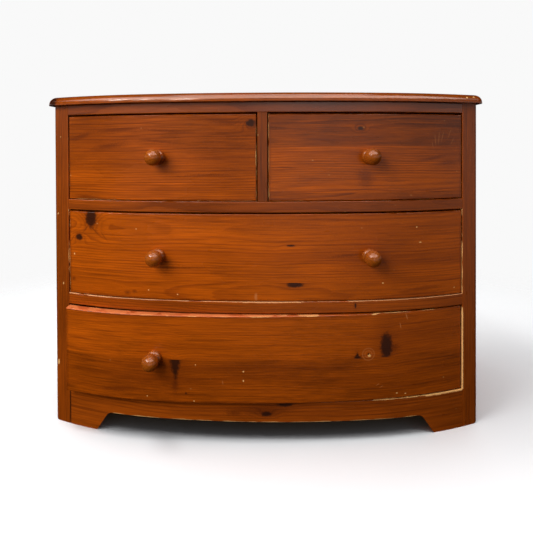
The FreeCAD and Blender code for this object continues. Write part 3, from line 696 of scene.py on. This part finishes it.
# Case
top_rail_pine = satin(
    "top_rail_pine", case_wood, "bowed", 36.0, top_rail_boards, shades=top_rail_shades,
    bare_facing=backward, specular=0.58)
upper_rail_pine = satin(
    "upper_rail_pine", case_wood, "bowed", 31.0, upper_rail_boards, shades=upper_rail_shades,
    bare_facing=backward)
lower_rail_pine = satin(
    "lower_rail_pine", case_wood, "bowed", 34.0, lower_rail_boards, knots=lower_rail_knots,
    chips=lower_rail_chips, worn_colour=worn_red, bare_facing=backward,
    wear=[WornAndShadedEdge((arris.start, lower_rail_low), (arris.end, middle_floor), top=arris.reach, fill=arris.fill)
          for arris in lower_rail_arrises])
apron_wear = [WornAndShadedEdge((arris.start, 0.0), (arris.end, bottom_floor), top=arris.reach, fill=arris.fill)
              for arris in apron_upper_arrises]
apron_wear += [WornAndShadedEdge((arris.start, apron_arch), (arris.end, bottom_floor), bottom=arris.reach,
                    fill=arris.fill) for arris in apron_lower_arrises]
apron_pine = satin("apron_pine", case_wood, "bowed", 44.0, apron_boards, knots=apron_knots,
                   smears=apron_smears, bare_facing=backward, wear=apron_wear)
divider_pine = satin("divider_pine", case_wood, "post", 50.0, divider_boards)
left_post_pine = satin(
    "left_post_pine", case_wood, "post", 52.0, left_post_boards, chips=left_post_chips,
    wear=[WornAndShadedEdge((arris.start, -beyond_case), (arris.end, -opening_half_width), top=arris.reach,
               fill=arris.fill, deep=post_worn_y) for arris in left_post_arrises])
right_post_pine = satin(
    "right_post_pine", case_wood, "post", 54.0, right_post_boards,
    wear=[WornAndShadedEdge((arris.start, opening_half_width), (arris.end, beyond_case), bottom=arris.reach,
               fill=arris.fill, deep=post_worn_y) for arris in right_post_arrises])
side_pine = satin("side_pine", case_wood, "side", 57.0,
                  even_boards(bow_depth + bow_crown_y, side_back_y, side_board_lights))
top_pine = finish(pine("top_pine", top_wood, "lid", 63.0,
                       even_boards(top_front_y, side_back_y, top_board_lights),
                       knots=top_knots, chips=top_board_chips_and_glints),
                  specular=0.45, coat=0.30, coat_roughness=0.08, tint=warm_tint)
knob_pine = finish(pine("knob_pine", turned_wood, "deep", 71.0, spacing=knob_ring_spacing),
                   specular=0.20, coat=0.36, coat_roughness=0.04, tint=warm_tint)

# Unfinished inner parts
bare_deep_pine = bare_pine("bare_deep_pine", bare, "deep", 83.0)
bare_wide_pine = bare_pine("bare_wide_pine", bare, "wide", 88.0)
back_ply = bare_pine("back_ply", ply, "wide", 91.0, spacing=ply_ring_spacing, pith=ply_pith_depth)
bottom_ply = bare_pine("bottom_ply", ply, "lid", 95.0, spacing=ply_ring_spacing, pith=ply_pith_depth)

# Zinc of the screws and nails
zinc_cloud_scale = (300.0, 300.0, 300.0)
zinc_scratch_scale = (2500.0, 2500.0, 200.0)
zinc_relief = 0.0002


def make_zinc():
    """Dull zinc plating with fine drawn scratches."""
    material, graph, shader = new_material("zinc_plating")
    place = graph.node("ShaderNodeTexCoord").outputs["Object"]
    cloud = graph.noise(graph.vectors("MULTIPLY", place, zinc_cloud_scale), 3.0)
    scratch = graph.noise(graph.vectors("MULTIPLY", place, zinc_scratch_scale), 2.0)
    colour = graph.mix(cloud, zinc_dark, zinc_light)
    roughness = graph.spread(scratch, 0.28, 0.52)
    bump = graph.node("ShaderNodeBump", {"Strength": 0.15, "Distance": zinc_relief, "Height": scratch})
    graph.put(shader, {"Base Color": colour, "Roughness": roughness, "Normal": bump.outputs[0]})
    shader["Metallic"].default_value = 1.0
    return material


zinc = make_zinc()


def material_for(name):
    """The material of one CAD node, by its name."""
    named = {"upper_left_drawer_front": upper_left_pine, "upper_right_drawer_front": upper_right_pine,
             "middle_drawer_front": middle_pine, "bottom_drawer_front": bottom_pine, "top_board": top_pine,
             "top_rail": top_rail_pine, "upper_rail": upper_rail_pine, "lower_rail": lower_rail_pine,
             "apron": apron_pine, "centre_divider": divider_pine, "left_front_post": left_post_pine,
             "right_front_post": right_post_pine, "left_side_panel": side_pine,
             "right_side_panel": side_pine, "back_panel": back_ply, "drawer_stops": bare_wide_pine}
    if name in named:
        return named[name]
    if name.endswith("screws") or name.endswith("nails"):
        return zinc
    if "_knob" in name:
        return knob_pine
    if name.endswith("drawer_bottom"):
        return bottom_ply
    if name.endswith("_rail") or name.endswith("_back"):
        return bare_wide_pine
    return bare_deep_pine


for node_name, node_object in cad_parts.items():
    node_object.data.materials.clear()
    node_object.data.materials.append(material_for(node_name))


# Stage
floor_half = 6.0
floor_fade_start = 0.75
floor_fade_end = 1.7
floor_cloud_size = (0.33, 0.33)
floor_grey = srgb(240, 241, 242)
floor_white = srgb(245, 246, 247)
floor_mesh = bpy.data.meshes.new("floor")
floor_corners = [(-floor_half, -floor_half, 0), (floor_half, -floor_half, 0), (floor_half, floor_half, 0),
                 (-floor_half, floor_half, 0)]
floor_mesh.from_pydata(floor_corners, [], [(0, 1, 2, 3)])
floor = bpy.data.objects.new("floor", floor_mesh)
bpy.context.collection.objects.link(floor)
floor.visible_glossy = False
floor.visible_diffuse = False
floor_material, floor_graph, floor_shader = new_material("pale_floor")
floor_place = floor_graph.node("ShaderNodeTexCoord").outputs["Object"]
floor_cloud = floor_graph.noise(floor_graph.stretched(floor_place, floor_cloud_size), 3.0)
floor_colour = floor_graph.mix(floor_cloud, floor_grey, floor_white)
floor_graph.put(floor_shader, {"Base Color": floor_colour, "Roughness": 0.9})
floor_shader["Specular IOR Level"].default_value = 0.0
floor_fade = floor_graph.rise(floor_graph.length(floor_place), floor_fade_start, floor_fade_end)
floor_clear = floor_graph.node("ShaderNodeBsdfTransparent").outputs[0]
floor_nodes = floor_material.node_tree.nodes
floor_mix = {0: floor_fade, 1: floor_nodes["Principled BSDF"].outputs[0], 2: floor_clear}
floor_surface = floor_graph.node("ShaderNodeMixShader", floor_mix).outputs[0]
floor_graph.tree.links.new(floor_surface, floor_nodes["Material Output"].inputs["Surface"])
floor_mesh.materials.append(floor_material)

# Light: an even room with a bright ceiling, a soft key light at the upper left and a wide top light
gloss_dark = (0.004, 0.004, 0.004, 1.0)
gloss_glow = (1.65, 1.70, 1.80, 1.0)
gloss_ceiling = (6.5, 6.4, 6.3, 1.0)
room_low = srgb(30, 30, 30)
room_high = srgb(126, 127, 130)
backdrop = srgb(249, 249, 249)
forward_direction = (0.0, -1.0, 0.0)
belt_share = 0.45
world = bpy.data.worlds.new("studio")
bpy.context.scene.world = world
world.use_nodes = True
sky = Graph(world.node_tree)
outward = sky.node("ShaderNodeTexCoord").outputs["Generated"]
sideward, _, upward = sky.separate(outward)
forward = sky.rise(sky.dot(outward, forward_direction), 0.0, 0.3)
ceiling = sky.multiply(sky.rise(upward, 0.50, 0.62), sky.fall(upward, 0.84, 0.94))
ceiling = sky.multiply(ceiling, forward)
glow_side = sky.multiply(sky.spread(sky.rise(sideward, -0.30, 0.12), 0.05, 1.0), forward)
glow_side = sky.multiply(glow_side, sky.spread(sky.fall(sideward, 0.1, 0.7), 0.5, 1.0))
glow = sky.multiply(sky.rise(upward, -0.38, 0.08), glow_side)
glow_belt = sky.multiply(sky.rise(upward, 0.02, 0.09), sky.fall(upward, 0.12, 0.30))
glow = sky.maximum(glow, sky.multiply(glow_belt, belt_share))
glow = sky.multiply(glow, sky.spread(sky.fall(upward, 0.10, 0.30), 0.3, 1.0))
rays = sky.node("ShaderNodeLightPath").outputs
gloss_colour = sky.mix(glow, gloss_dark, gloss_glow)
gloss_colour = sky.mix(ceiling, gloss_colour, gloss_ceiling)
room_colour = sky.mix(sky.rise(upward, 0.0, 0.7), room_low, room_high)
lit_colour = sky.mix(rays["Is Glossy Ray"], room_colour, gloss_colour)
seen_colour = sky.mix(rays["Is Camera Ray"], lit_colour, backdrop)
sky.put(world.node_tree.nodes["Background"].inputs, {"Color": seen_colour})

# Lamps: name, place, target, size and watts
Lamp = namedtuple("Lamp", "name place target size watts")
key_place = (-1.35, -1.85, 1.75)
key_target = (-0.2, -0.1, 0.45)
pane_size = (0.24, 0.24)
pane_steps = (-0.36, 0.0, 0.36)
key_watts = 42.0
matt_lamps = [Lamp("fill_light", (-1.3, -2.4, 0.7), (0.0, -0.1, 0.35), (1.6, 1.2), 16.0),
              Lamp("side_light", (1.9, 1.1, 1.1), (0.3, 0.1, 0.3), (1.2, 1.2), 22.0),
              Lamp("back_light", (-1.2, 2.0, 1.2), (-0.1, 0.2, 0.3), (1.2, 1.2), 22.0),
              Lamp("right_light", (1.6, -1.7, 1.0), (0.3, -0.2, 0.4), (1.0, 1.0), 2.5)]
top_lamp = Lamp("top_light", (0.0, -0.5, 2.6), (0.0, 0.0, 0.3), (1.6, 1.0), 20.0)
floor_lamps = [Lamp("floor_light", (-0.60, -0.40, 2.4), (-0.3, -0.3, 0.0), (1.4, 0.6), 38.0),
               Lamp("floor_sky", (0.0, 0.0, 3.5), (0.0, 0.0, 0.0), (5.0, 5.0), 142.0)]


def lit_set(name, state):
    """A set that holds the floor, for lights that reach only the floor or all but the floor."""
    lit = bpy.data.collections.new(name)
    lit.objects.link(floor)
    lit.collection_objects[0].light_linking.link_state = state
    return lit


floor_alone = lit_set("floor_alone", "INCLUDE")
all_but_floor = lit_set("all_but_floor", "EXCLUDE")


def area_light(lamp, lit):
    """A rectangular light that reaches one set of objects."""
    data = bpy.data.lights.new(lamp.name, "AREA")
    data.shape = "RECTANGLE"
    data.size, data.size_y = lamp.size
    data.energy = lamp.watts
    light = bpy.data.objects.new(lamp.name, data)
    bpy.context.collection.objects.link(light)
    light.location = lamp.place
    light.rotation_mode = "QUATERNION"
    light.rotation_quaternion = (Vector(lamp.target) - Vector(lamp.place)).to_track_quat("-Z", "Y")
    light.light_linking.receiver_collection = lit
    return light


pane_watts = key_watts / len(pane_steps) ** 2
for column, aside in enumerate(pane_steps):
    for row, up in enumerate(pane_steps):
        pane_place = Vector(key_place) + Vector((aside, -aside, up))
        pane = Lamp(f"key_light_{column}_{row}", pane_place, key_target, pane_size, pane_watts)
        area_light(pane, all_but_floor).visible_glossy = up >= 0.0
for matt_lamp in matt_lamps:
    area_light(matt_lamp, all_but_floor).visible_glossy = False
area_light(top_lamp, all_but_floor)
for floor_lamp in floor_lamps:
    area_light(floor_lamp, floor_alone)

# Camera
camera_data = bpy.data.cameras.new("camera")
camera = bpy.data.objects.new("camera", camera_data)
bpy.context.collection.objects.link(camera)
bpy.context.scene.camera = camera
camera_data.sensor_width = sensor_width
camera_data.lens = focal_pixels / image_pixels * sensor_width
camera_data.shift_y = (optical_pixel - image_pixels / 2) / image_pixels
turns = Matrix.Rotation(math.radians(camera_yaw), 4, "Z")
turns = turns @ Matrix.Rotation(math.radians(90 - camera_pitch), 4, "X")
turns = turns @ Matrix.Rotation(math.radians(camera_roll), 4, "Z")
camera.matrix_world = Matrix.Translation(camera_place) @ turns

bpy.context.scene.view_settings.view_transform = "Standard"
